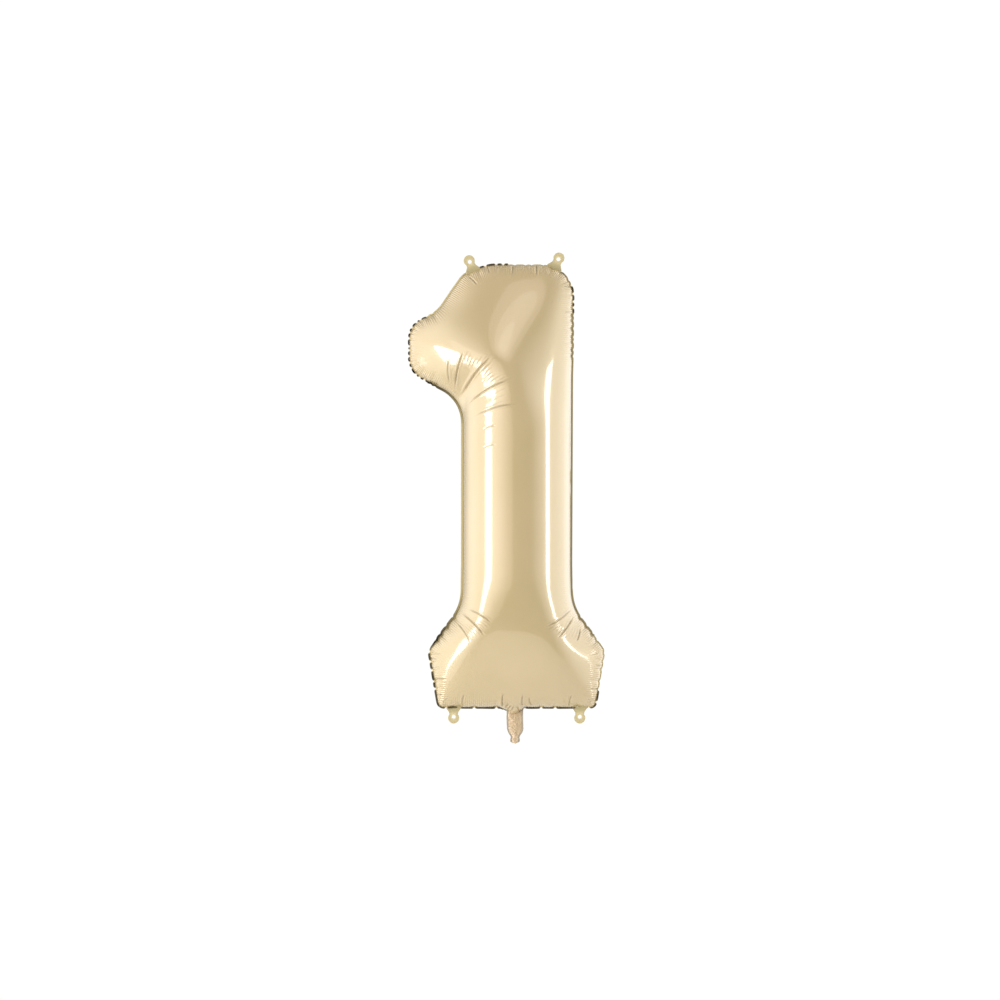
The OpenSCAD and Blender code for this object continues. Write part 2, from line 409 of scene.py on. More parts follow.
@dataclass
class DigitOutline:
    """The figure one over its border, clockwise from the bottom left corner."""

    height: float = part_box("seam_border")[1][2]
    stem_width: float = 201.5 * MM
    stem_x: float = 3.5 * MM
    foot_width: float = 286 * MM
    foot_flare: float = 18 * MM
    shoulder_z: float = 105 * MM
    foot_join_z: float = 187 * MM
    flag_reach: float = -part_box("seam_border")[0][0]
    flag_join_z: float = 554 * MM
    border: float = 4.5 * MM

    def corners(self) -> list[Corner]:
        """Return the digit's corners. The two sides of the stem run along its tube."""
        left = self.stem_x - self.stem_width / 2
        right = self.stem_x + self.stem_width / 2
        foot_left = self.stem_x - self.foot_width / 2
        foot_right = self.stem_x + self.foot_width / 2
        top = self.height
        return [
            Corner(foot_left, 0, 14 * MM),
            Corner(foot_left - self.foot_flare, self.shoulder_z, 20 * MM),
            Corner(left, self.foot_join_z, 85 * MM, Draw.ALONG),
            Corner(left, self.flag_join_z, 65 * MM),
            Corner(-self.flag_reach, self.flag_join_z + 52 * MM, 45 * MM),
            Corner(-self.flag_reach, top - 109 * MM, 42 * MM),
            Corner(50 * MM - self.flag_reach, top - 86.5 * MM, 60 * MM),
            Corner(left + 4 * MM, top - 17 * MM, 40 * MM),
            Corner(left + 49 * MM, top, 90 * MM),
            Corner(right + 3 * MM, top, 60 * MM, Draw.ALONG),
            Corner(right, self.foot_join_z, 85 * MM),
            Corner(foot_right + self.foot_flare, self.shoulder_z, 20 * MM),
            Corner(foot_right, 0, 14 * MM),
        ]

    def line(self, shifts: Sequence[float], spacing: float) -> np.ndarray:
        """Draw the outline with each edge moved outwards, as evenly spaced points.

        Args:
            shifts: How far each edge moves outwards, in the order of the corners.
            spacing: Distance between points.

        Returns:
            Rows of x and z, clockwise and closed.
        """
        corners = self.corners()
        count = len(corners)
        base = np.array([[c.x, c.z] for c in corners])
        ahead = np.roll(base, -1, axis=0) - base
        ahead /= np.linalg.norm(ahead, axis=1)[:, None]
        out = np.stack([-ahead[:, 1], ahead[:, 0]], axis=1)
        moved = np.array([
            base[i] + np.linalg.solve(np.array([out[i - 1], out[i]]),
                                      np.array([shifts[i - 1], shifts[i]]))
            for i in range(count)
        ])
        points: list[np.ndarray] = []
        for i in range(count):
            into, away = ahead[i - 1], ahead[i]
            way = 1.0 if into[0] * away[1] - into[1] * away[0] > 0 else -1.0
            mean_shift = (shifts[i - 1] + shifts[i]) / 2
            radius = max(corners[i].radius - way * mean_shift, 8 * MM)
            bend = math.acos(float(np.clip(into @ away, -1, 1)))
            start = moved[i] - into * radius * math.tan(bend / 2)
            centre = start + way * out[i - 1] * radius
            first = math.atan2(*(start - centre)[::-1])
            steps = max(2, round(radius * bend / spacing))
            for k in range(steps + 1):
                angle = first + way * bend * k / steps
                points.append(centre + radius * np.array([math.cos(angle), math.sin(angle)]))
        return even(np.array(points), spacing)

    def seal_line(self) -> "ClosedLine":
        """Return the inner edge of the border, which the film's two sheets bulge from."""
        return ClosedLine(self.line([-self.border] * len(self.corners()), 2.5 * MM))

    def flat_cut(self, spacing: float) -> np.ndarray:
        """Return the same edge as it is before inflating, wider by what each side draws in."""
        tube = self.stem_width - 2 * self.border
        return self.line([c.draw.value * tube - self.border for c in self.corners()], spacing)


def even(points: np.ndarray, spacing: float) -> np.ndarray:
    """Put points at even steps along a closed line.

    Args:
        points: Rows of x and z along the line.
        spacing: The step.

    Returns:
        The new points.
    """
    closed = np.vstack([points, points[:1]])
    steps = np.linalg.norm(np.diff(closed, axis=0), axis=1)
    keep = np.concatenate([[True], steps > 1e-7])
    closed, run = closed[keep], np.concatenate([[0], np.cumsum(steps[steps > 1e-7])])
    places = np.linspace(0, run[-1], max(8, round(run[-1] / spacing)), endpoint=False)
    return np.stack([np.interp(places, run, closed[:, k]) for k in (0, 1)], axis=1)


class ClosedLine:
    """A closed line in the plane of the seam, measured by the distance run along it."""

    def __init__(self, points: np.ndarray) -> None:
        """Take the line's points, clockwise as rows of x and z."""
        self.points = points
        self.ahead = np.roll(points, -1, axis=0) - points
        self.steps = np.linalg.norm(self.ahead, axis=1)
        self.run = np.concatenate([[0], np.cumsum(self.steps)])
        self.length = float(self.run[-1])

    def nearest(self, places: np.ndarray, block: int = 4000) -> tuple[np.ndarray, np.ndarray]:
        """Find the nearest point of the line to each place.

        Args:
            places: Rows of x and z.
            block: How many places are worked on at a time.

        Returns:
            The distance run along the line to each nearest point, and how far inside the line the
            place lies, negative outside.
        """
        runs, depths = [], []
        for i in range(0, len(places), block):
            offset = places[i:i + block, None, :] - self.points[None]
            share = (offset * self.ahead[None]).sum(-1) / (self.steps ** 2)[None]
            share = np.clip(share, 0, 1)
            gap = offset - share[..., None] * self.ahead[None]
            far = np.linalg.norm(gap, axis=-1)
            best = far.argmin(axis=1)
            rows = np.arange(len(best))
            runs.append(self.run[best] + share[rows, best] * self.steps[best])
            ahead, side = self.ahead[best], gap[rows, best]
            inner = ahead[:, 0] * side[:, 1] - ahead[:, 1] * side[:, 0] < 0
            depths.append(np.where(inner, 1, -1) * far[rows, best])
        return np.concatenate(runs), np.concatenate(depths)

    def at(self, runs: np.ndarray) -> np.ndarray:
        """Return the points at distances run along the line, as rows of x and z."""
        closed = np.vstack([self.points, self.points[:1]])
        wrapped = np.mod(runs, self.length)
        return np.stack([np.interp(wrapped, self.run, closed[:, k]) for k in (0, 1)], axis=-1)

    def outward(self, runs: np.ndarray) -> np.ndarray:
        """Return the unit directions that point out of the line at distances run along it."""
        step = 3 * MM
        ahead = self.at(runs + step) - self.at(runs - step)
        ahead /= np.linalg.norm(ahead, axis=-1)[..., None]
        return np.stack([-ahead[..., 1], ahead[..., 0]], axis=-1)

    def bend(self, runs: np.ndarray, reach: float = 14 * MM) -> np.ndarray:
        """Return how sharply the line turns: over 0 round an outer corner, under 0 in an inner one."""
        before, after = self.outward(runs - reach), self.outward(runs + reach)
        return -(before[..., 0] * after[..., 1] - before[..., 1] * after[..., 0]) / (2 * reach)


def around(runs: np.ndarray, centre: float, length: float) -> np.ndarray:
    """Return the signed distances along a closed line of that length from centre to each run."""
    return np.mod(runs - centre + length / 2, length) - length / 2


# --- The inflated film -------------------------------------------------------------------------


@dataclass(frozen=True)
class Crease:
    """A sharp fold in the film, from one place to another in the plane of the seam, in mm."""

    start: tuple[float, float]
    end: tuple[float, float]
    depth: float
    width: float = 3.7
    # How strongly painted shade darkens the colour along the crease.
    painted_shade: float = 0.75


def fan(first: Crease, last: Crease, count: int, low: float, high: float, depth: float) -> list[Crease]:
    """Spread fine creases between two long ones.

    Args:
        first: The long crease on one side.
        last: The long crease on the other side.
        count: How many fine creases lie between them.
        low: Where along the long creases the fine ones start, from 0 to 1.
        high: Where they end.
        depth: Their depth in mm.

    Returns:
        The fine creases.
    """
    def along(crease: Crease, share: float) -> np.ndarray:
        """Return the point at a share of a crease's length."""
        return np.array(crease.start) + share * (np.array(crease.end) - np.array(crease.start))

    made = []
    for i in range(count):
        side = (i + 1) / (count + 1)
        wobble = 0.07 * math.sin(5.1 * i + 1.3)
        ends = [along(first, share) * (1 - side) + along(last, share) * side
                for share in (low + wobble, high + wobble)]
        # Fine creases take a fainter painted shade.
        made.append(Crease(tuple(ends[0]), tuple(ends[1]), depth, 3.2, 0.3))
    return made


@dataclass
class InflatedFilm:
    """The two sheets of foil, from the flat cut to the creased balloon."""

    outline: DigitOutline
    cut_step: float = 8.6 * MM
    frames: int = 24
    pressure: float = 40.0
    tension: float = 200.0
    tail_dip: float = 14 * MM
    tail_dip_half_width: float = 23 * MM
    tab_dent: float = 2.5 * MM
    tab_dent_half_width: float = 9 * MM
    fine_band: float = 11 * MM
    slope_left: float = -146 * MM
    slope_right: float = -88 * MM
    slope_low: float = 700 * MM
    stem_fade: float = 55 * MM
    smooth_low: float = 205 * MM
    smooth_left_top: float = 560 * MM
    smooth_right_top: float = 655 * MM
    frill_reach: float = 1.4 * MM
    tab_places: list[tuple[float, float]] = field(default_factory=list)

    def __post_init__(self) -> None:
        """Find the seal line and the puckers on it."""
        self.seal = self.outline.seal_line()
        self.puckers = self.pucker_runs()

    # What the seam does along its length

    def convexity(self, runs: np.ndarray) -> np.ndarray:
        """Say where the seam is gathered.

        Args:
            runs: Distances run along the seal line.

        Returns:
            1 where the seam is gathered, 0 along the stem and in the inner corners.
        """
        places = self.seal.at(runs)
        bend = self.seal.bend(runs, 40 * MM)
        inner = np.clip(-bend * 60 * MM, 0, 1)
        stem_high = np.where(places[:, 0] > 0, self.smooth_right_top, self.smooth_left_top)
        within = np.minimum(places[:, 1] - self.smooth_low, stem_high - places[:, 1]) / self.stem_fade
        along_stem = np.where(places[:, 0] > -135 * MM, np.clip(within, 0, 1), 0)
        return np.clip(1 - inner, 0, 1) * (1 - along_stem)

    def pucker_runs(self) -> np.ndarray:
        """Return where the seam is pinched, as distances run along the seal line."""
        runs, run, i = [], 0.0, 0
        while run < self.seal.length - 6 * MM:
            i += 1
            run += self.pitch_at(run) * (1 + 0.28 * math.sin(2.4 * i) + 0.12 * math.sin(7.7 * i))
            x, z = self.seal.at(np.array([run]))[0]
            on_slope = self.slope_left < x < self.slope_right and z > self.slope_low
            if self.convexity(np.array([run]))[0] > 0.6 and not on_slope:
                runs.append(run)
        return np.array(runs)

    def pitch_at(self, run: float) -> float:
        """Return the distance to the next pucker: short round the flag, long along the bottom.

        Args:
            run: A distance run along the seal line.

        Returns:
            The distance to the next pucker.
        """
        x, z = self.seal.at(np.array([run]))[0]
        if z < 8 * MM:
            return 29 * MM
        if z < 205 * MM:
            return 18 * MM
        if x < -130 * MM:
            return 10.5 * MM
        return 17 * MM if x < 95 * MM else 12.5 * MM

    def pinch(self, runs: np.ndarray, width: float) -> np.ndarray:
        """Return 1 at a pucker, falling to 0 over a width along the seam."""
        total = np.zeros(len(runs))
        for centre in self.puckers:
            total = np.maximum(total, np.exp(-(around(runs, centre, self.seal.length) / width) ** 2))
        return total

    def seam_shift(self, runs: np.ndarray) -> np.ndarray:
        """Return how far the finished seam lies outside the plain seal line.

        Args:
            runs: Distances run along the seal line.

        Returns:
            One distance for each run: outwards over the tail, inwards at a tab or a pucker.
        """
        places = self.seal.at(runs)
        shift = self.frill_reach * self.convexity(runs) - 1.5 * MM * self.pinch(runs, 2.6 * MM)
        share = np.clip(1 - np.abs(places[:, 0] + 3 * MM) / self.tail_dip_half_width, 0, 1)
        bottom = places[:, 1] < 30 * MM
        shift += np.where(bottom, self.tail_dip * share ** 1.15, 0)
        for x, z in self.tab_places:
            away = np.hypot(places[:, 0] - x, places[:, 1] - z)
            shift -= self.tab_dent * np.exp(-(away / self.tab_dent_half_width) ** 2)
        return shift

    def seam(self, runs: np.ndarray) -> np.ndarray:
        """Return the finished seam's points at distances run along the seal line."""
        return self.seal.at(runs) + self.seal.outward(runs) * self.seam_shift(runs)[:, None]

    # Cutting and inflating

    def cut_flat(self) -> tuple[np.ndarray, list[tuple[int, ...]], int, int]:
        """Lay the two sheets on each other, slightly parted, and join them along the seam.

        Returns:
            The points, the front sheet's faces followed by the rear sheet's, the number of points
            on the seam, which come first, and the number of points on the front sheet.
        """
        rim = self.outline.flat_cut(self.cut_step)
        low, high = rim.min(axis=0), rim.max(axis=0)
        row_step = self.cut_step * math.sqrt(3) / 2
        lattice = np.array([
            (low[0] + (column + 0.5 * (row % 2)) * self.cut_step, low[1] + row * row_step)
            for row in range(int((high[1] - low[1]) / row_step) + 2)
            for column in range(int((high[0] - low[0]) / self.cut_step) + 2)
        ])
        depth = ClosedLine(rim).nearest(lattice)[1]
        inside = depth > 0.62 * self.cut_step
        flat = np.vstack([rim, lattice[inside]])
        loop = [(i, (i + 1) % len(rim)) for i in range(len(rim))]
        made = delaunay_2d_cdt([Vector(p) for p in flat], loop, [], 1, 1e-7)
        flat = np.array([tuple(p) for p in made[0]])
        parted = 0.25 * np.sqrt(0.12 * np.concatenate([np.zeros(len(rim)), depth[inside]]))
        front = np.stack([flat[:, 0], -parted, flat[:, 1]], axis=1)
        rear = front[len(rim):] * (1, -1, 1)
        faces = []
        for a, b, c in made[2]:
            turn = np.cross(flat[b] - flat[a], flat[c] - flat[a])
            faces.append((a, b, c) if turn > 0 else (a, c, b))
        over = len(flat) - len(rim)
        shifted = [tuple(k if k < len(rim) else k + over for k in f) for f in faces]
        return np.vstack([front, rear]), faces + [f[::-1] for f in shifted], len(rim), len(flat)

    def inflate(self, points: np.ndarray, faces: list[tuple[int, ...]]) -> np.ndarray:
        """Blow the flat cut up with the cloth simulation.

        Args:
            points: The flat cut's points.
            faces: Its faces.

        Returns:
            The inflated points.
        """
        sheet = mesh_object("flat_cut", points, faces)
        activate(sheet)
        bpy.ops.object.modifier_add(type="CLOTH")
        cloth = sheet.modifiers[-1]
        film = cloth.settings
        film.quality = 6
        film.mass = 0.05
        film.air_damping = 1.0
        film.tension_stiffness = film.compression_stiffness = film.shear_stiffness = self.tension
        film.bending_stiffness = 0.1
        film.tension_damping = film.compression_damping = film.shear_damping = 5.0
        film.use_pressure = True
        film.uniform_pressure_force = self.pressure
        film.effector_weights.gravity = 0.0
        cloth.collision_settings.use_collision = False
        cloth.point_cache.frame_start = 1
        cloth.point_cache.frame_end = self.frames
        for number in range(1, self.frames + 1):
            bpy.context.scene.frame_set(number)
        bpy.ops.object.modifier_apply(modifier=cloth.name)
        inflated = points_of(sheet)
        bpy.context.scene.frame_set(1)
        bpy.data.objects.remove(sheet)
        return inflated

    def settle(self, points: np.ndarray, rim_count: int) -> tuple[np.ndarray, np.ndarray]:
        """Bring the inflated seam onto the digit's outline, and draw the film along with it.

        Args:
            points: The inflated points, those of the seam first.
            rim_count: How many points lie on the seam.

        Returns:
            The places in the plane of the seam, and the run along the seal line of each seam point.
        """
        places = points[:, [0, 2]].copy()
        runs = self.seal.nearest(places[:rim_count])[0]
        start = runs[0]
        unrolled = start + np.cumsum(np.concatenate([[0], around(np.diff(runs), 0, self.seal.length)]))
        for _ in range(30):
            ends = unrolled[-1] - self.seal.length, unrolled[0] + self.seal.length
            padded = np.concatenate([[ends[0]], unrolled, [ends[1]]])
            unrolled = 0.5 * unrolled + 0.25 * (padded[:-2] + padded[2:])
        drawn = self.seam(unrolled) - places[:rim_count]
        reach = 60 * MM
        block = 2000
        for i in range(rim_count, len(places), block):
            gap = np.linalg.norm(places[i:i + block, None] - places[None, :rim_count], axis=2)
            weight = 1 / (gap ** 2 + 1e-5) ** 1.5
            pull = (weight[..., None] * drawn[None]).sum(1) / weight.sum(1)[:, None]
            places[i:i + block] += pull * np.exp(-gap.min(axis=1) / reach)[:, None]
        places[:rim_count] = self.seam(unrolled)
        return places, unrolled

    def finish_sheet(self, places: np.ndarray, bulge: np.ndarray, faces: np.ndarray,
                     runs: np.ndarray) -> tuple[np.ndarray, np.ndarray, np.ndarray]:
        """Smooth one sheet and split its faces in four, twice over.

        The square of the bulge is smoothed, and not the bulge, because the film leaves the seam
        upright.

        Args:
            places: The sheet's places in the plane of the seam, those of the seam first.
            bulge: How far each point stands off that plane.
            faces: The sheet's triangles.
            runs: The run along the seal line of each seam point.

        Returns:
            The finer places, bulges and triangles.
        """
        square = bulge ** 2
        rim = len(runs)
        places, square = smooth(places, square, faces, rim, 14)
        square = self.straighten(places, square)
        for _ in range(2):
            edges = np.sort(np.vstack([faces[:, [0, 1]], faces[:, [1, 2]], faces[:, [2, 0]]]), axis=1)
            edges, where = np.unique(edges, axis=0, return_inverse=True)
            where = where.reshape(3, -1).T
            on_rim = (edges < rim).all(axis=1) & (
                np.isin(edges[:, 1] - edges[:, 0], (1, rim - 1)))
            rim_edges = edges[on_rim]
            first = np.where(rim_edges[:, 1] - rim_edges[:, 0] == 1, rim_edges[:, 0], rim_edges[:, 1])
            order = np.argsort(first)
            middle = runs[first[order]] + around(np.roll(runs, -1) - runs, 0, self.seal.length) / 2
            new_runs = np.empty(2 * rim)
            new_runs[0::2], new_runs[1::2] = runs, middle
            old = np.empty(len(places), int)
            old[:rim] = 2 * np.arange(rim)
            old[rim:] = 2 * rim + np.arange(len(places) - rim)
            born = np.empty(len(edges), int)
            born[np.flatnonzero(on_rim)[order]] = 2 * np.arange(rim) + 1
            inner = np.flatnonzero(~on_rim)
            born[inner] = rim + len(places) + np.arange(len(inner))
            count = len(places) + len(edges)
            new_places, new_square = np.empty((count, 2)), np.empty(count)
            new_places[old], new_square[old] = places, square
            new_places[born] = places[edges].mean(axis=1)
            new_square[born] = square[edges].mean(axis=1)
            a, b, c = (old[faces[:, k]] for k in range(3))
            ab, bc, ca = (born[where[:, k]] for k in range(3))
            faces = np.vstack([np.stack(f, axis=1) for f in
                               ((a, ab, ca), (ab, b, bc), (ca, bc, c), (ab, bc, ca))])
            places, square, runs = new_places, new_square, new_runs
            rim = len(runs)
            places[:rim] = self.seam(runs)
            square[:rim] = 0
            places, square = smooth(places, square, faces, rim, 4)
        return self.refine(places, np.sqrt(np.maximum(square, 0)), faces)

    def straighten(self, places: np.ndarray, square: np.ndarray) -> np.ndarray:
        """Give the stem one cross-section between the flag and the foot.

        Args:
            places: Rows of x and z.
            square: The square of each point's bulge.

        Returns:
            The new squares.
        """
        half = self.outline.stem_width / 2 - self.outline.border
        across = (places[:, 0] - self.outline.stem_x) / half
        low, high, ramp = 190 * MM, 560 * MM, 62 * MM
        sample = (np.abs(across) < 1.02) & (places[:, 1] > low + ramp) & (places[:, 1] < high - ramp)
        order = np.argsort(across[sample])
        ways, values = across[sample][order], square[sample][order]
        stations = np.linspace(-1, 1, 41)
        spread = np.exp(-((stations[:, None] - ways[None]) / 0.035) ** 2)
        profile = (spread * values[None]).sum(axis=1) / spread.sum(axis=1)
        profile[0] = profile[-1] = 0
        share = np.clip(np.minimum(places[:, 1] - low, high - places[:, 1]) / ramp, 0, 1)
        share = np.where(np.abs(across) < 1, share * share * (3 - 2 * share), 0)
        return square * (1 - share) + share * np.interp(across, stations, profile)

    def refine(self, places: np.ndarray, bulge: np.ndarray,
               faces: np.ndarray) -> tuple[np.ndarray, np.ndarray, np.ndarray]:
        """Split the faces by the seam and along the creases once more.

        Args:
            places: The sheet's places in the plane of the seam.
            bulge: How far each point stands off that plane.
            faces: The sheet's triangles.

        Returns:
            The finer places, bulges and triangles.
        """
        middles = places[faces].mean(axis=1)
        near = self.seal.nearest(middles)[1] < self.fine_band
        for crease in self.creases():
            start, end = np.array(crease.start) * MM, np.array(crease.end) * MM
            axis = end - start
            share = np.clip((middles - start) @ axis / (axis @ axis), -0.05, 1.05)
            gap = np.linalg.norm(middles - start - share[:, None] * axis, axis=1)
            near |= gap < 2.0 * crease.width * MM
        sheet = mesh_object("fine_cut", np.stack([places[:, 0], bulge, places[:, 1]], axis=1), faces)
        activate(sheet)
        bpy.ops.object.mode_set(mode="EDIT")
        bpy.ops.mesh.select_mode(type="FACE")
        bpy.ops.mesh.select_all(action="DESELECT")
        bpy.ops.object.mode_set(mode="OBJECT")
        sheet.data.polygons.foreach_set("select", near)
        bpy.ops.object.mode_set(mode="EDIT")
        bpy.ops.mesh.subdivide(number_cuts=1)
        bpy.ops.mesh.select_all(action="SELECT")
        bpy.ops.mesh.quads_convert_to_tris()
        bpy.ops.object.mode_set(mode="OBJECT")
        finer = points_of(sheet)
        tris = np.empty(len(sheet.data.loops), int)
        sheet.data.loops.foreach_get("vertex_index", tris)
        bpy.data.objects.remove(sheet)
        return finer[:, [0, 2]], finer[:, 1], tris.reshape(-1, 3)

    # Creases

    def creases(self) -> list[Crease]:
        """Return the folds that the film takes up, in mm, in the inner corners and at the seam."""
        flag = [
            Crease((-117, 583), (-118, 629), 0.9, 3.4),
            Crease((-107, 577), (-91, 640), 1.7),
            Crease((-96, 562), (-41, 630), 2.1, 4.6),
            Crease((-84, 548), (-6, 590), 1.9),
            Crease((-72, 525), (2, 546), 1.2),
            Crease((-58, 501), (-34, 508), 0.7, 3.2),
            Crease((-57, 469), (-34, 475), 0.6, 3.2),
        ]
        foot_left = [
            Crease((-84, 182), (-42, 159), 1.4),
            Crease((-96, 174), (-54, 135), 1.7),
            Crease((-104, 157), (-80, 124), 1.1, 3.4),
        ]
        foot_right = [
            Crease((102, 182), (54, 151), 1.4),
            Crease((105, 169), (76, 132), 1.7),
            Crease((117, 149), (109, 122), 1.1, 3.4),
        ]
        fine = (fan(flag[1], flag[2], 6, 0.68, 0.98, 0.35) + fan(flag[2], flag[3], 6, 0.55, 0.88, 0.35)
                + fan(flag[3], flag[4], 3, 0.5, 0.8, 0.2) + fan(flag[0], flag[1], 2, 0.1, 0.5, 0.25)
                + fan(foot_left[0], foot_left[1], 4, 0.6, 0.98, 0.3)
                + fan(foot_left[1], foot_left[2], 4, 0.3, 0.95, 0.25)
                + fan(foot_right[0], foot_right[1], 4, 0.6, 0.98, 0.3)
                + fan(foot_right[1], foot_right[2], 4, 0.3, 0.95, 0.25))
        seam = [
            Crease((-50, 797), (-46, 782), 1.2, 3.6), Crease((-5, 799), (-6, 780), 1.2, 3.6),
            Crease((38, 799), (38, 779), 1.2, 3.6), Crease((-84, 778), (-68, 762), 1.0, 3.4),
            Crease((101, 762), (86, 760), 0.8, 3.4), Crease((104, 715), (88, 713), 0.8, 3.4),
            Crease((-157, 90), (-140, 90), 1.0, 3.4), Crease((-150, 52), (-122, 55), 1.2, 3.6),
            Crease((-146, 24), (-130, 26), 0.8, 3.4), Crease((-95, 3), (-91, 28), 1.2, 3.6),
            Crease((-22, 3), (-21, 30), 1.5, 3.8), Crease((13, 3), (14, 28), 1.3, 3.6),
            Crease((29, 6), (25, 24), 0.9, 3.4), Crease((97, 3), (101, 27), 1.1, 3.6),
            Crease((160, 79), (144, 79), 0.9, 3.4), Crease((152, 36), (134, 37), 1.0, 3.4),
            Crease((-12, 12), (-18, 1), 1.3, 3.2), Crease((-7, 9), (-13, -2), 1.3, 3.2),
            Crease((-3, 6), (-8, -5), 1.0, 3.0), Crease((3, 6), (7, -5), 1.0, 3.0),
        ]
        return flag + foot_left + foot_right + fine + seam

    def press(self, places: np.ndarray, bulge: np.ndarray, faces: np.ndarray,
              side: int) -> tuple[np.ndarray, ...]:
        """Press the puckers and the creases into one sheet.

        Args:
            places: The sheet's places in the plane of the seam.
            bulge: How far each point stands off that plane.
            faces: The sheet's triangles.
            side: -1 for the front sheet, 1 for the rear one.

        Returns:
            The finished points, the run along the seam of each, its depth inside the seam, how deeply
            it is pleated, and how much painted shade darkens it inside a crease.
        """
        runs, depth = self.seal.nearest(places)
        depth = np.maximum(depth, 0)
        along = self.seal.length
        gathered = self.convexity(runs)
        push, fold = np.zeros(len(places)), np.zeros(len(places))
        for number, centre in enumerate(self.puckers):
            gap = np.abs(around(runs, centre, along)) / (3.4 * MM)
            length = (9 + 5 * math.sin(3.3 * number)) * MM
            push += 1.1 * MM * np.exp(-gap ** 1.5) * np.exp(-(depth / length) ** 2)
        swell = np.cos(np.pi * np.clip(self.pinch(runs, 5 * MM), 0, 1)) * 0.25 * MM
        push -= swell * gathered * np.exp(-(depth / (10 * MM)) ** 2)
        for crease in self.creases():
            start, end = np.array(crease.start) * MM, np.array(crease.end) * MM
            axis = end - start
            length = np.linalg.norm(axis)
            axis /= length
            offset = places - start
            share = offset @ axis / length
            bow = 0.05 * length * np.sin(np.pi * np.clip(share, 0, 1))
            gap = (offset @ np.array([-axis[1], axis[0]]) - bow) / (crease.width * MM)
            taper = np.clip(np.minimum(share + 0.04, 1.04 - share) / 0.3, 0, 1)
            taper *= taper * (3 - 2 * taper)
            valley = np.exp(-(3.4 * gap) ** 2)
            push += crease.depth * MM * taper * (valley - 0.3 * np.exp(-(np.abs(gap) - 0.85) ** 2 / 0.12))
            # Painted shade, deepest along the crease's valley, which the foil's material reads to darken its
            # colour.
            fold = np.maximum(fold, crease.painted_shade * taper * valley)
        points = np.stack([places[:, 0], side * bulge, places[:, 1]], axis=1)
        normals = vertex_normals(points, faces)
        fade = np.clip(bulge / (6 * MM), 0, 1)
        points -= normals * (push * fade)[:, None]
        slope = np.exp(-(depth / (15 * MM)) ** 2) * np.clip(depth / (1.5 * MM), 0, 1)
        return points, runs, depth, slope * gathered, fold

    def build(self, foil: bpy.types.Material) -> None:
        """Make the front and the rear sheet.

        Args:
            foil: The material of both sheets.
        """
        points, faces, rim_count, front_count = self.cut_flat()
        LOG.info("flat cut: %d points", len(points))
        inflated = self.inflate(points, faces)
        places, runs = self.settle(inflated, rim_count)
        half = len(faces) // 2
        inner_count = front_count - rim_count
        rear_rows = np.concatenate([np.arange(rim_count), front_count + np.arange(inner_count)])
        front_faces = np.array(faces[:half])
        for name, side, rows in (("front_film", -1, np.arange(front_count)),
                                 ("rear_film", 1, rear_rows)):
            turned = front_faces if side < 0 else front_faces[:, ::-1]
            fine, bulge, tris = self.finish_sheet(places[rows], np.abs(inflated[rows, 1]), turned, runs)
            shaped, run, depth, pleat, fold = self.press(fine, bulge, tris, side)
            sheet = mesh_object(name, shaped, tris)
            paint(sheet, "pleat", pleat)
            # Painted shade in the creases.
            paint(sheet, "crease", fold)
            self.map_seam(sheet, run, depth)
            dress(sheet, foil)
            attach(sheet, "shell")
            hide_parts("front_panel" if side < 0 else "rear_panel")
            LOG.info("%s: %d triangles, %.0f mm deep", name, len(tris), bulge.max() / MM)

    def map_seam(self, sheet: bpy.types.Object, runs: np.ndarray, depth: np.ndarray) -> None:
        """Lay a UV map along the seam: the run in metres across, the depth inside it upwards.

        Args:
            sheet: The sheet of film.
            runs: The run along the seam of each point.
            depth: The depth inside the seam of each point.
        """
        layer = sheet.data.uv_layers.new(name="seam")
        loops = np.empty(len(sheet.data.loops), int)
        sheet.data.loops.foreach_get("vertex_index", loops)
        across = runs[loops].reshape(-1, 3)
        across = across[:, :1] + around(across - across[:, :1], 0, self.seal.length)
        layer.data.foreach_set("uv", np.stack([across.ravel(), depth[loops]], axis=1).ravel())


def smooth(places: np.ndarray, square: np.ndarray, faces: np.ndarray, fixed: int,
           passes: int) -> tuple[np.ndarray, np.ndarray]:
    """Even out a sheet's places and squared bulges, with its first points held.

    Args:
        places: Rows of x and z.
        square: The square of each point's bulge.
        faces: The sheet's triangles.
        fixed: How many of the first points stay.
        passes: How many times the sheet is smoothed.

    Returns:
        The new places and squares.
    """
    sides = np.vstack([faces[:, [0, 1]], faces[:, [1, 2]], faces[:, [2, 0]]])
    edges = np.unique(np.sort(sides, axis=1), axis=0)
    ends = np.concatenate([edges[:, 0], edges[:, 1]])
    others = np.concatenate([edges[:, 1], edges[:, 0]])
    count = np.bincount(ends, minlength=len(places))
    values = np.column_stack([places, square])
    held = values[:fixed].copy()
    for _ in range(passes):
        mean = np.stack([np.bincount(ends, values[others, k], len(places)) for k in range(3)], axis=1)
        values = 0.4 * values + 0.6 * mean / count[:, None]
        values[:fixed] = held
    return values[:, :2], values[:, 2]


def vertex_normals(points: np.ndarray, faces: np.ndarray) -> np.ndarray:
    """Return the unit normal at each point of a triangle mesh."""
    turn = np.cross(points[faces[:, 1]] - points[faces[:, 0]], points[faces[:, 2]] - points[faces[:, 0]])
    normals = np.stack([
        sum(np.bincount(faces[:, k], turn[:, axis], len(points)) for k in range(3)) for axis in range(3)
    ], axis=1)
    return normals / np.maximum(np.linalg.norm(normals, axis=1), 1e-12)[:, None]


# --- The welded border -------------------------------------------------------------------------


@dataclass(frozen=True)
class Stretch:
    """A stretch of the border, from one place in mm clockwise to another, and how it looks there."""

    start: tuple[float, float]
    end: tuple[float, float]
    width: tuple[float, float]
    # How far painted dark reflection darkens the border, at each end of the stretch.
    dark: tuple[float, float]
    frilled: bool = False


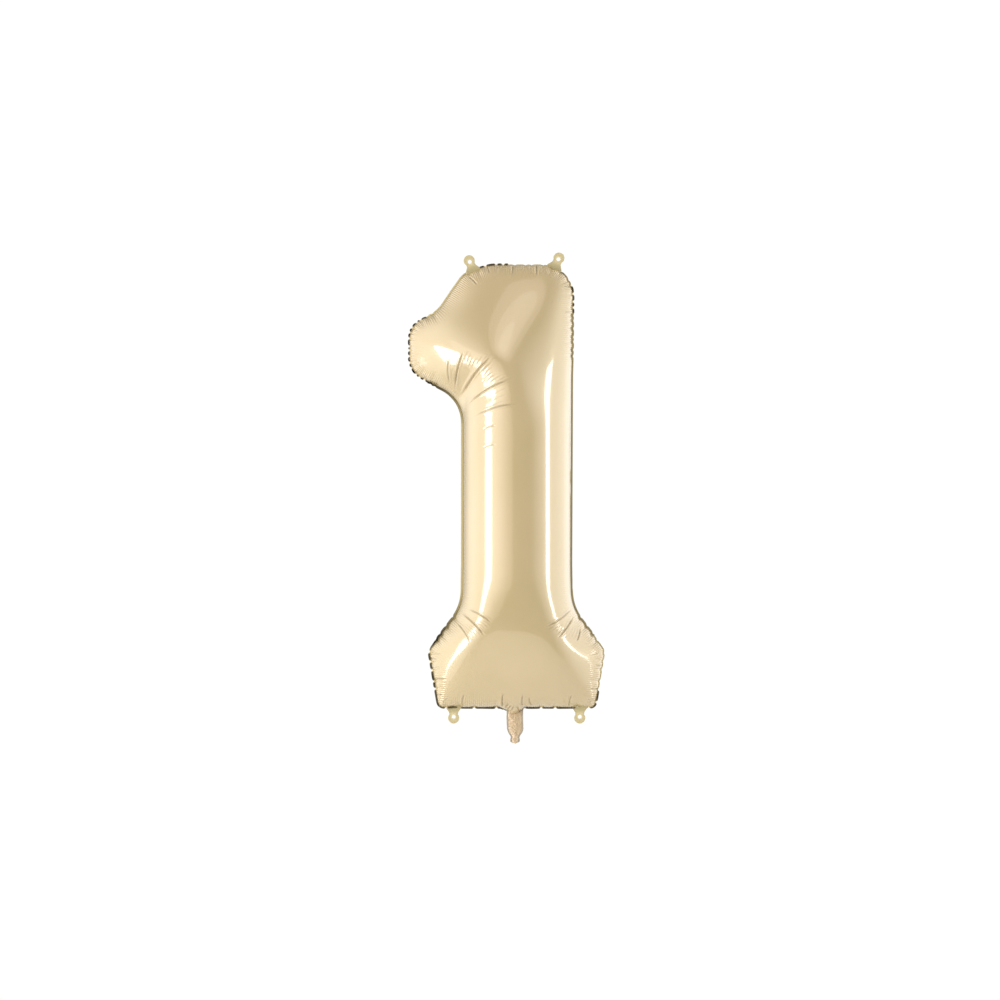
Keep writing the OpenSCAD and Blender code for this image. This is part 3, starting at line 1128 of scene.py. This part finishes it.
@dataclass
class WeldedBorder:
    """The frill of two sealed plies round the digit: flat in the inner corners, curled elsewhere."""

    film: InflatedFilm
    stretches: tuple[Stretch, ...] = (
        Stretch((-139, 0), (-157, 103), (3.4, 3.6), (0.9, 0.9), True),
        Stretch((-157, 103), (-141, 122), (2.2, 3.4), (0.6, 1.0), True),
        Stretch((-141, 122), (-97, 215), (4.4, 4.4), (1.0, 0.25)),
        Stretch((-97, 215), (-97, 515), (4.5, 4.5), (0.2, 0.2)),
        Stretch((-97, 515), (-157, 588), (4.4, 3.6), (0.3, 1.0)),
        Stretch((-157, 588), (-186, 688), (2.7, 2.9), (1.0, 1.0), True),
        Stretch((-186, 688), (-158, 706), (2.7, 2.2), (1.0, 0.9), True),
        Stretch((-158, 706), (-95, 775), (2.6, 3.2), (0.05, 0.12)),
        Stretch((-95, 775), (-62, 797), (3.0, 3.0), (0.2, 0.9)),
        Stretch((-62, 797), (-12, 802), (3.0, 3.0), (0.9, 0.9), True),
        Stretch((-12, 802), (62, 802), (1.2, 1.2), (0.1, 0.1)),
        Stretch((62, 802), (104, 765), (2.6, 2.2), (0.9, 0.3)),
        Stretch((104, 765), (106, 712), (3.2, 3.2), (0.9, 0.9), True),
        Stretch((106, 712), (104, 215), (2.8, 3.0), (0.35, 0.45)),
        Stretch((104, 215), (138, 128), (3.6, 3.2), (0.4, 0.45)),
        Stretch((138, 128), (164, 103), (2.0, 1.6), (0.2, 0.1)),
        Stretch((164, 103), (152, 32), (1.6, 1.6), (0.0, 0.1)),
        Stretch((152, 32), (146, 0), (3.0, 3.0), (0.8, 0.9), True),
        Stretch((146, 0), (-139, 0), (3.0, 3.0), (0.85, 0.85), True),
    )
    thickness: float = 0.25 * MM
    step: float = 1.6 * MM
    rows: int = 5
    curl_height: float = 1.6 * MM

    def look(self, runs: np.ndarray) -> tuple[np.ndarray, np.ndarray, np.ndarray]:
        """Look up the border's stretches.

        Args:
            runs: Distances run along the seal line.

        Returns:
            The border's width, its darkness from painted dark reflection, and 1 where it is frilled, at
            each run.
        """
        seal = self.film.seal
        width, dark, frill = (np.zeros(len(runs)) for _ in range(3))
        for stretch in self.stretches:
            ends = seal.nearest(np.array([stretch.start, stretch.end]) * MM)[0]
            span = (ends[1] - ends[0]) % seal.length
            share = ((runs - ends[0]) % seal.length) / span
            here = share <= 1
            width[here] = np.interp(share[here], (0, 1), stretch.width) * MM
            dark[here] = np.interp(share[here], (0, 1), stretch.dark)
            frill[here] = float(stretch.frilled)
        return width, dark, frill

    def build(self, weld: bpy.types.Material) -> bpy.types.Object:
        """Make the border.

        Args:
            weld: The material of heat-sealed film.

        Returns:
            The border's object.
        """
        seal = self.film.seal
        count = round(seal.length / self.step)
        runs = np.arange(count) * seal.length / count
        inner = self.film.seam(runs)
        outward = seal.outward(runs)
        width, dark, gathered = self.look(runs)
        pinch = self.film.pinch(runs, 1.5 * MM) * gathered
        width *= 1 - 0.4 * pinch
        over_tail = (inner[:, 1] < 1 * MM) & (np.abs(inner[:, 0] + 3 * MM) < 22 * MM)
        width = np.where(over_tail, 1.6 * MM, width)
        sway = np.sin(runs / (11 * MM)) + 0.6 * np.sin(runs / (6.1 * MM) + 2)
        points, painted_darkening, pale = [], [], []
        for row in range(self.rows):
            share = row / (self.rows - 1)
            place = inner + outward * (width * share)[:, None]
            lift = self.curl_height * gathered * share ** 2 * sway * (1 - pinch)
            points.append(np.stack([place[:, 0], lift, place[:, 1]], axis=1))
            # Painted dark reflection, strongest on the outer rows and broken at the pinches.
            painted_darkening.append(dark * (1 - pinch) ** 2 * min(1.0, 0.85 + share))
            pale.append(pinch)
        faces = []
        for row in range(self.rows - 1):
            for i in range(count):
                j = (i + 1) % count
                a, b = row * count, (row + 1) * count
                faces.append((a + i, b + i, b + j, a + j))
        border = mesh_object("welded_border", np.vstack(points), faces)
        paint(border, "painted_darkening", np.concatenate(painted_darkening))
        paint(border, "pinch", np.concatenate(pale))
        solid = border.modifiers.new("plies", "SOLIDIFY")
        solid.thickness = self.thickness
        solid.offset = 0.0
        apply_modifiers(border)
        dress(border, weld)
        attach(border, "shell")
        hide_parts("seam_border", "valve_collar")
        LOG.info("welded_border: %d faces", len(border.data.polygons))
        return border


# --- Hanging tabs ------------------------------------------------------------------------------


class TabPlace(Enum):
    """Where a hanging tab sits: its name, and the joint that it folds on."""

    UPPER_LEFT = "upper_left_tab"
    UPPER_RIGHT = "upper_right_tab"
    LOWER_LEFT = "lower_left_tab"
    LOWER_RIGHT = "lower_right_tab"


def joint_of(name: str) -> dict:
    """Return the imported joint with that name."""
    return next(j for j in frame["joints"] if j["name"] == name)


def mount_of(name: str) -> dict:
    """Return the record's mount with that name."""
    return next(m for m in frame["record"]["mounts"] if m["name"] == name)


@dataclass
class HangingTab:
    """A small ear of sealed film with a punched hole, which grows out of the border."""

    place: TabPlace
    head_radius: float = 10 * MM
    hole_radius: float = 3.5 * MM
    head_shift: float = 2.2 * MM
    waist: float = 7.6 * MM
    root: float = 14 * MM
    tuck: float = 8 * MM
    thickness: float = 0.3 * MM
    bow: float = 0.8 * MM

    def __post_init__(self) -> None:
        """Find the fold line, the hole and the direction from one to the other."""
        joint = joint_of(self.place.value + "_fold")
        self.fold = Vector(joint["pos_m"])
        self.hole = Vector(mount_of(self.place.value.replace("_tab", "_eyelet"))["pos_m"])
        self.up = (self.hole - self.fold).normalized()
        self.across = Vector((self.up.z, 0, -self.up.x))
        self.reach = (self.hole - self.fold).length

    def half_width(self, height: float) -> float:
        """Return half of the tab's width.

        Args:
            height: The height above the tab's fold.

        Returns:
            Half of the width there.
        """
        head = self.reach + self.head_shift
        rise = abs(height - head)
        round_part = math.sqrt(max(self.head_radius ** 2 - rise ** 2, 0)) if rise < self.head_radius else 0
        flare = self.waist + (self.root - self.waist) * math.exp(-max(height + 1 * MM, 0) / (3 * MM))
        if height > head:
            return round_part
        return max(round_part, flare)

    def build(self, weld: bpy.types.Material) -> bpy.types.Object:
        """Make the tab.

        Args:
            weld: The material of heat-sealed film.

        Returns:
            The tab's object.
        """
        head = self.reach + self.head_shift
        top = head + self.head_radius
        rings = 7
        sides = 72
        bottom = -self.tuck
        points, faces = [], []
        for i in range(sides):
            angle = 2 * math.pi * i / sides
            ray = Vector((math.sin(angle), math.cos(angle)))
            far = self.edge_distance(ray, bottom, top)
            for k in range(rings):
                share = k / (rings - 1)
                radius = self.hole_radius + (far - self.hole_radius) * share
                x, h = ray.x * radius, self.reach + ray.y * radius
                lift = self.bow * math.sin(h / top * 2.6) * max(h, 0) / top
                points.append(self.fold + self.across * x + self.up * h + Vector((0, lift, 0)))
        for i in range(sides):
            j = (i + 1) % sides
            for k in range(rings - 1):
                faces.append((i * rings + k, i * rings + k + 1, j * rings + k + 1, j * rings + k))
        tab = mesh_object(self.place.value + "_film", points, faces)
        heights = (points_of(tab) - np.array(self.fold)) @ np.array(self.up)
        rim = np.array([k / (rings - 1) for _ in range(sides) for k in range(rings)])
        # Painted shade: a slight darkening all over that deepens towards the root, where the tab meets the
        # balloon.
        paint(tab, "painted_darkening", 0.14 + 0.14 * np.clip(1 - heights / (9 * MM), 0, 1))
        # Paler in a ring round the punched hole.
        paint(tab, "pinch", 0.4 * np.exp(-(rim / 0.22) ** 2))
        solid = tab.modifiers.new("plies", "SOLIDIFY")
        solid.thickness = self.thickness
        solid.offset = 0.0
        edge = tab.modifiers.new("cut_edge", "BEVEL")
        edge.width = 0.08 * MM
        edge.segments = 1
        edge.limit_method = "ANGLE"
        apply_modifiers(tab)
        deselect()
        activate(tab)
        bpy.ops.object.mode_set(mode="EDIT")
        bpy.ops.mesh.select_all(action="SELECT")
        bpy.ops.mesh.normals_make_consistent(inside=False)
        bpy.ops.object.mode_set(mode="OBJECT")
        dress(tab, weld)
        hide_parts(self.place.value)
        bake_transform(tab)
        LOG.info("%s: %d faces", tab.name, len(tab.data.polygons))
        return tab

    def edge_distance(self, ray: Vector, bottom: float, top: float) -> float:
        """Return how far the tab's edge lies from the hole's centre in one direction.

        Args:
            ray: The direction, across and up.
            bottom: The height of the root's lower edge.
            top: The height of the head's top.

        Returns:
            The distance.
        """
        low, high = self.hole_radius, 40 * MM
        for _ in range(24):
            middle = (low + high) / 2
            x, h = ray.x * middle, self.reach + ray.y * middle
            inside = bottom < h < top and abs(x) < self.half_width(h)
            low, high = (middle, high) if inside else (low, middle)
        return low


# --- Filling tail and valve --------------------------------------------------------------------


@dataclass
class FillingTail:
    """The neck of thin film that hangs from the bottom seam, in two plies sealed at the sides."""

    half_width: float = 15 * MM
    seal_width: float = 3.2 * MM
    top: float = 3 * MM
    bottom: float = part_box("tail_front_ply")[0][2]
    gap: float = 3.2 * MM
    ply: float = 0.2 * MM
    columns: int = 44
    rows: int = 96
    crumple: float = 1.7 * MM

    def half_width_at(self, z: float) -> float:
        """Return half of the tail's width at a height: straight, then a throat and a bulb."""
        share = (self.top - z) / (self.top - self.bottom)
        stations = (0, 0.60, 0.70, 0.78, 0.83, 0.91, 0.97, 1.0)
        widths = (1.0, 1.0, 0.86, 0.62, 0.52, 0.60, 0.56, 0.38)
        return self.half_width * float(np.interp(share, stations, widths))

    def build(self, film: bpy.types.Material) -> None:
        """Make both plies."""
        for name, side, node in (("tail_front_film", -1, "tail_front_ply"),
                                 ("tail_rear_film", 1, "tail_rear_ply")):
            self.build_ply(name, side, node, film)

    def build_ply(self, name: str, side: int, node: str, film: bpy.types.Material) -> None:
        """Make one ply.

        Args:
            name: The piece's name.
            side: -1 for the front ply, 1 for the rear one.
            node: The part that it stands for.
            film: Its material.
        """
        deselect()
        bpy.ops.mesh.primitive_grid_add(x_subdivisions=self.columns, y_subdivisions=self.rows, size=2.0)
        ply = bpy.context.object
        ply.name = ply.data.name = name
        points = points_of(ply)
        seals = np.zeros(len(points))
        for i, (u, v, _) in enumerate(points.copy()):
            z = self.top + (self.bottom - self.top) * (1 - v) / 2
            half = self.half_width_at(z)
            end = max(0.0, (self.bottom + 9 * MM - z) / (9 * MM))
            x = u * half
            z += end * (u * u) * 2.0 * MM + end * 0.7 * MM * math.cos(u * 5 * math.pi)
            inner = half - self.seal_width
            lens = max(0.0, 1 - (x / inner) ** 2)
            opening = self.gap * min(max((-1.5 * MM - z) / (9 * MM), 0.0), 1.0)
            spot = Vector((x, 0.02 * side, z)) / (5 * MM)
            fold = noise.ridged_multi_fractal(spot, 1.0, 2.1, 3, 1.0, 2.0) - 1.2
            wave = noise.noise(spot * 0.55 + Vector((3.1, 0, 0)))
            wrinkle = self.crumple * (0.35 * fold + 0.6 * wave) * min(1.0, lens * 2.5)
            body = max(opening * lens + wrinkle * min(1.0, opening / (1.5 * MM)), 0.1 * MM)
            points[i] = (x + 0.4 * MM * math.sin(z / (9 * MM)), side * body, z)
            seals[i] = min(max((abs(x) - inner + 0.6 * MM) / (1.0 * MM), 0), 1)
        move_points(ply, points)
        paint(ply, "seal", seals)
        ply.data.polygons.foreach_set("use_smooth", [True] * len(ply.data.polygons))
        solid = ply.modifiers.new("film", "SOLIDIFY")
        solid.thickness = self.ply
        solid.offset = 1.0
        apply_modifiers(ply)
        bpy.ops.object.mode_set(mode="EDIT")
        bpy.ops.mesh.select_all(action="SELECT")
        bpy.ops.mesh.normals_make_consistent(inside=False)
        bpy.ops.object.mode_set(mode="OBJECT")
        dress(ply, film)
        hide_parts(node)
        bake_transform(ply)
        LOG.info("%s: %d faces", name, len(ply.data.polygons))


@dataclass
class Valve:
    """The flat two-ply valve. The inner plies keep their own shapes and only take their finish.

    The inlet plies are flat blocks that fill their parts' boxes and start below the border over them.
    """

    inner: tuple[str, ...] = ("valve_front_ply", "valve_rear_ply")
    inlet: tuple[str, ...] = ("valve_inlet_front_ply", "valve_inlet_rear_ply")
    inlet_top: float = -15 * MM
    bend_start: tuple[float, ...] = (0, 0, 1 * MM)
    bend_end: tuple[float, ...] = (0, 0, -9 * MM)

    def dress(self, film: bpy.types.Material) -> None:
        """Give each inner ply the clear film, and make the inlet plies.

        Args:
            film: The material of the valve's film.
        """
        for name in self.inner:
            node = frame["nodes"][name]
            node.data.materials.clear()
            node.data.materials.append(film)
            LOG.info("%s: dressed", name)
        for name in self.inlet:
            self.make_inlet(name, film)

    def make_inlet(self, name: str, film: bpy.types.Material) -> None:
        """Make one inlet ply as a flat block in its part's box, with its top at the inlet's top.

        Args:
            name: The CAD node it stands for.
            film: The material of the valve's film.
        """
        low, high = (Vector(corner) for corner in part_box(name))
        high.z = self.inlet_top
        bpy.ops.mesh.primitive_cube_add(size=1, location=(low + high) / 2)
        ply = bpy.context.object
        ply.name = name.replace("_ply", "_film")
        ply.scale = high - low
        dress(ply, film)
        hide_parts(name)
        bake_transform(ply)


# --- Studio ------------------------------------------------------------------------------------


@dataclass(frozen=True)
class Softbox:
    """A rectangular light that faces the balloon."""

    name: str
    bearing: float
    distance: float
    centre_z: float
    width: float
    height: float
    power: float
    colour: str = "FFFFFF"

    def build(self, aim: Vector) -> None:
        """Place the light at its bearing, measured from straight ahead towards the right.

        Args:
            aim: The middle of the balloon.
        """
        lamp = bpy.data.lights.new(self.name, "AREA")
        lamp.shape = "RECTANGLE"
        lamp.size = self.width
        lamp.size_y = self.height
        lamp.energy = self.power
        lamp.color = linear(self.colour)[:3]
        holder = bpy.data.objects.new(self.name, lamp)
        bpy.context.scene.collection.objects.link(holder)
        turn = math.radians(self.bearing)
        spot = Vector((aim.x + self.distance * math.sin(turn), -self.distance * math.cos(turn),
                       self.centre_z))
        holder.location = spot
        level = Vector((aim.x, 0, self.centre_z))
        holder.rotation_euler = (level - spot).to_track_quat("-Z", "Y").to_euler()


@dataclass(frozen=True)
class Dish:
    """A round light that fades towards its rim, made of three discs on each other."""

    name: str
    bearing: float
    distance: float
    height: float
    sizes: tuple[float, ...]
    radiance: float
    colour: str = "FFF4F0"

    def build(self, aim: Vector) -> None:
        """Place the discs, a centimetre apart, and turn them to the aim.

        Args:
            aim: The middle of the balloon.
        """
        turn = math.radians(self.bearing)
        for number, size in enumerate(self.sizes):
            lamp = bpy.data.lights.new(f"{self.name}_{number + 1}", "AREA")
            lamp.shape = "DISK"
            lamp.size = size
            lamp.energy = self.radiance / len(self.sizes) * math.pi * math.pi * (size / 2) ** 2
            lamp.color = linear(self.colour)[:3]
            holder = bpy.data.objects.new(lamp.name, lamp)
            bpy.context.scene.collection.objects.link(holder)
            away = self.distance + 0.01 * number
            spot = Vector((aim.x + away * math.sin(turn), -away * math.cos(turn), self.height))
            holder.location = spot
            holder.rotation_euler = (aim - spot).to_track_quat("-Z", "Y").to_euler()


@dataclass
class Studio:
    """A white studio with tall softboxes at both sides and the camera straight ahead."""

    view_width: float = 1.8
    camera_distance: float = 5.2
    centre_x: float = -27 * MM
    centre_z: float = 376 * MM
    floor_z: float = -1.2
    floor_radius: float = 2.2
    white: float = 1.85
    dim: float = 0.45
    dim_bearing: float = 11.0

    def build(self) -> None:
        """Make the camera, the white surroundings, the floor and the lights."""
        scene = bpy.context.scene
        scene.view_settings.view_transform = "Standard"
        self.build_camera(scene)
        self.build_world(scene)
        self.build_floor()
        aim = Vector((self.centre_x, 0, self.centre_z))
        for box in (
            Softbox("left_softbox", -64, 2.2, 0.08, 0.70, 1.35, 15.5),
            Softbox("right_softbox", 67.5, 2.2, 0.49, 0.33, 1.38, 7.5),
            Softbox("blush_panel", -31, 6.6, 0.4, 6.0, 6.0, 62, "FFEDE2"),
        ):
            box.build(aim)
        for dish in (
            Dish("upper_dish", 8, 1.95, 2.67, (0.7, 1.3, 1.9), 1.7),
            Dish("lower_dish", -2, 1.27, -1.04, (0.4, 0.75, 1.1), 0.28),
        ):
            dish.build(aim)

    def build_camera(self, scene: bpy.types.Scene) -> None:
        """Make the camera: level, square to the front, with a long lens.

        Args:
            scene: The scene that the camera belongs to.
        """
        lens = bpy.data.cameras.new("camera")
        lens.sensor_width = 36.0
        lens.lens = lens.sensor_width * self.camera_distance / self.view_width
        holder = bpy.data.objects.new("camera", lens)
        scene.collection.objects.link(holder)
        holder.location = (self.centre_x, -self.camera_distance, self.centre_z)
        holder.rotation_euler = (math.pi / 2, 0, 0)
        scene.camera = holder

    def build_world(self, scene: bpy.types.Scene) -> None:
        """Surround the balloon with white light that dims straight ahead and behind.

        Args:
            scene: The scene that the world belongs to.
        """
        world = bpy.data.worlds.new("white_studio")
        world.use_nodes = True
        tree = world.node_tree
        tree.nodes.clear()
        way = add_node(tree, "ShaderNodeTexCoord")
        turn = math.radians(self.dim_bearing)
        across = add_node(tree, "ShaderNodeVectorMath", settings={"operation": "DOT_PRODUCT"},
                          inputs={1: (math.cos(turn), math.sin(turn), 0.0)},
                          links={0: way.outputs["Generated"]})
        sideways = add_node(tree, "ShaderNodeMath", settings={"operation": "ABSOLUTE"},
                            links={0: across.outputs["Value"]})
        level = add_node(tree, "ShaderNodeMapRange", settings={"interpolation_type": "SMOOTHSTEP"},
                         inputs={"From Min": 0.3, "From Max": 0.93, "To Min": self.dim,
                                 "To Max": self.white}, links={"Value": sideways.outputs["Value"]})
        seen = add_node(tree, "ShaderNodeLightPath")
        strength = add_node(tree, "ShaderNodeMix", inputs={3: 1.02},
                            links={0: seen.outputs["Is Camera Ray"], 2: level.outputs["Result"]})
        background = add_node(tree, "ShaderNodeBackground", inputs={"Color": linear("FFFFFF")},
                              links={"Strength": strength.outputs[0]})
        add_node(tree, "ShaderNodeOutputWorld", links={"Surface": background.outputs["Background"]})
        scene.world = world

    def build_floor(self) -> None:
        """Lay a plain pale floor below the balloon."""
        deselect()
        bpy.ops.mesh.primitive_circle_add(vertices=96, radius=self.floor_radius, fill_type="NGON",
                                          location=(0, 0, self.floor_z))
        floor = bpy.context.object
        floor.name = "floor"
        material = bpy.data.materials.new("matt_white_paper")
        material.use_nodes = True
        shader = material.node_tree.nodes["Principled BSDF"]
        shader.inputs["Base Color"].default_value = linear("FBFBFA")
        shader.inputs["Roughness"].default_value = 0.9
        floor.data.materials.append(material)


# --- Making it all -----------------------------------------------------------------------------


def main() -> None:
    logging.basicConfig(level=logging.INFO, format="%(name)s: %(message)s")
    weld = WeldedFilm().make()
    tabs = [HangingTab(place) for place in TabPlace]
    film = InflatedFilm(DigitOutline(), tab_places=[(t.fold.x, t.fold.z) for t in tabs])
    film.build(LacqueredFoil().make())
    WeldedBorder(film).build(weld)
    for tab in tabs:
        tab.build(weld)
    FillingTail().build(TailFilm().make())
    Valve().dress(ValveFilm().make())
    Studio().build()


if __name__ == "__main__":
    main()
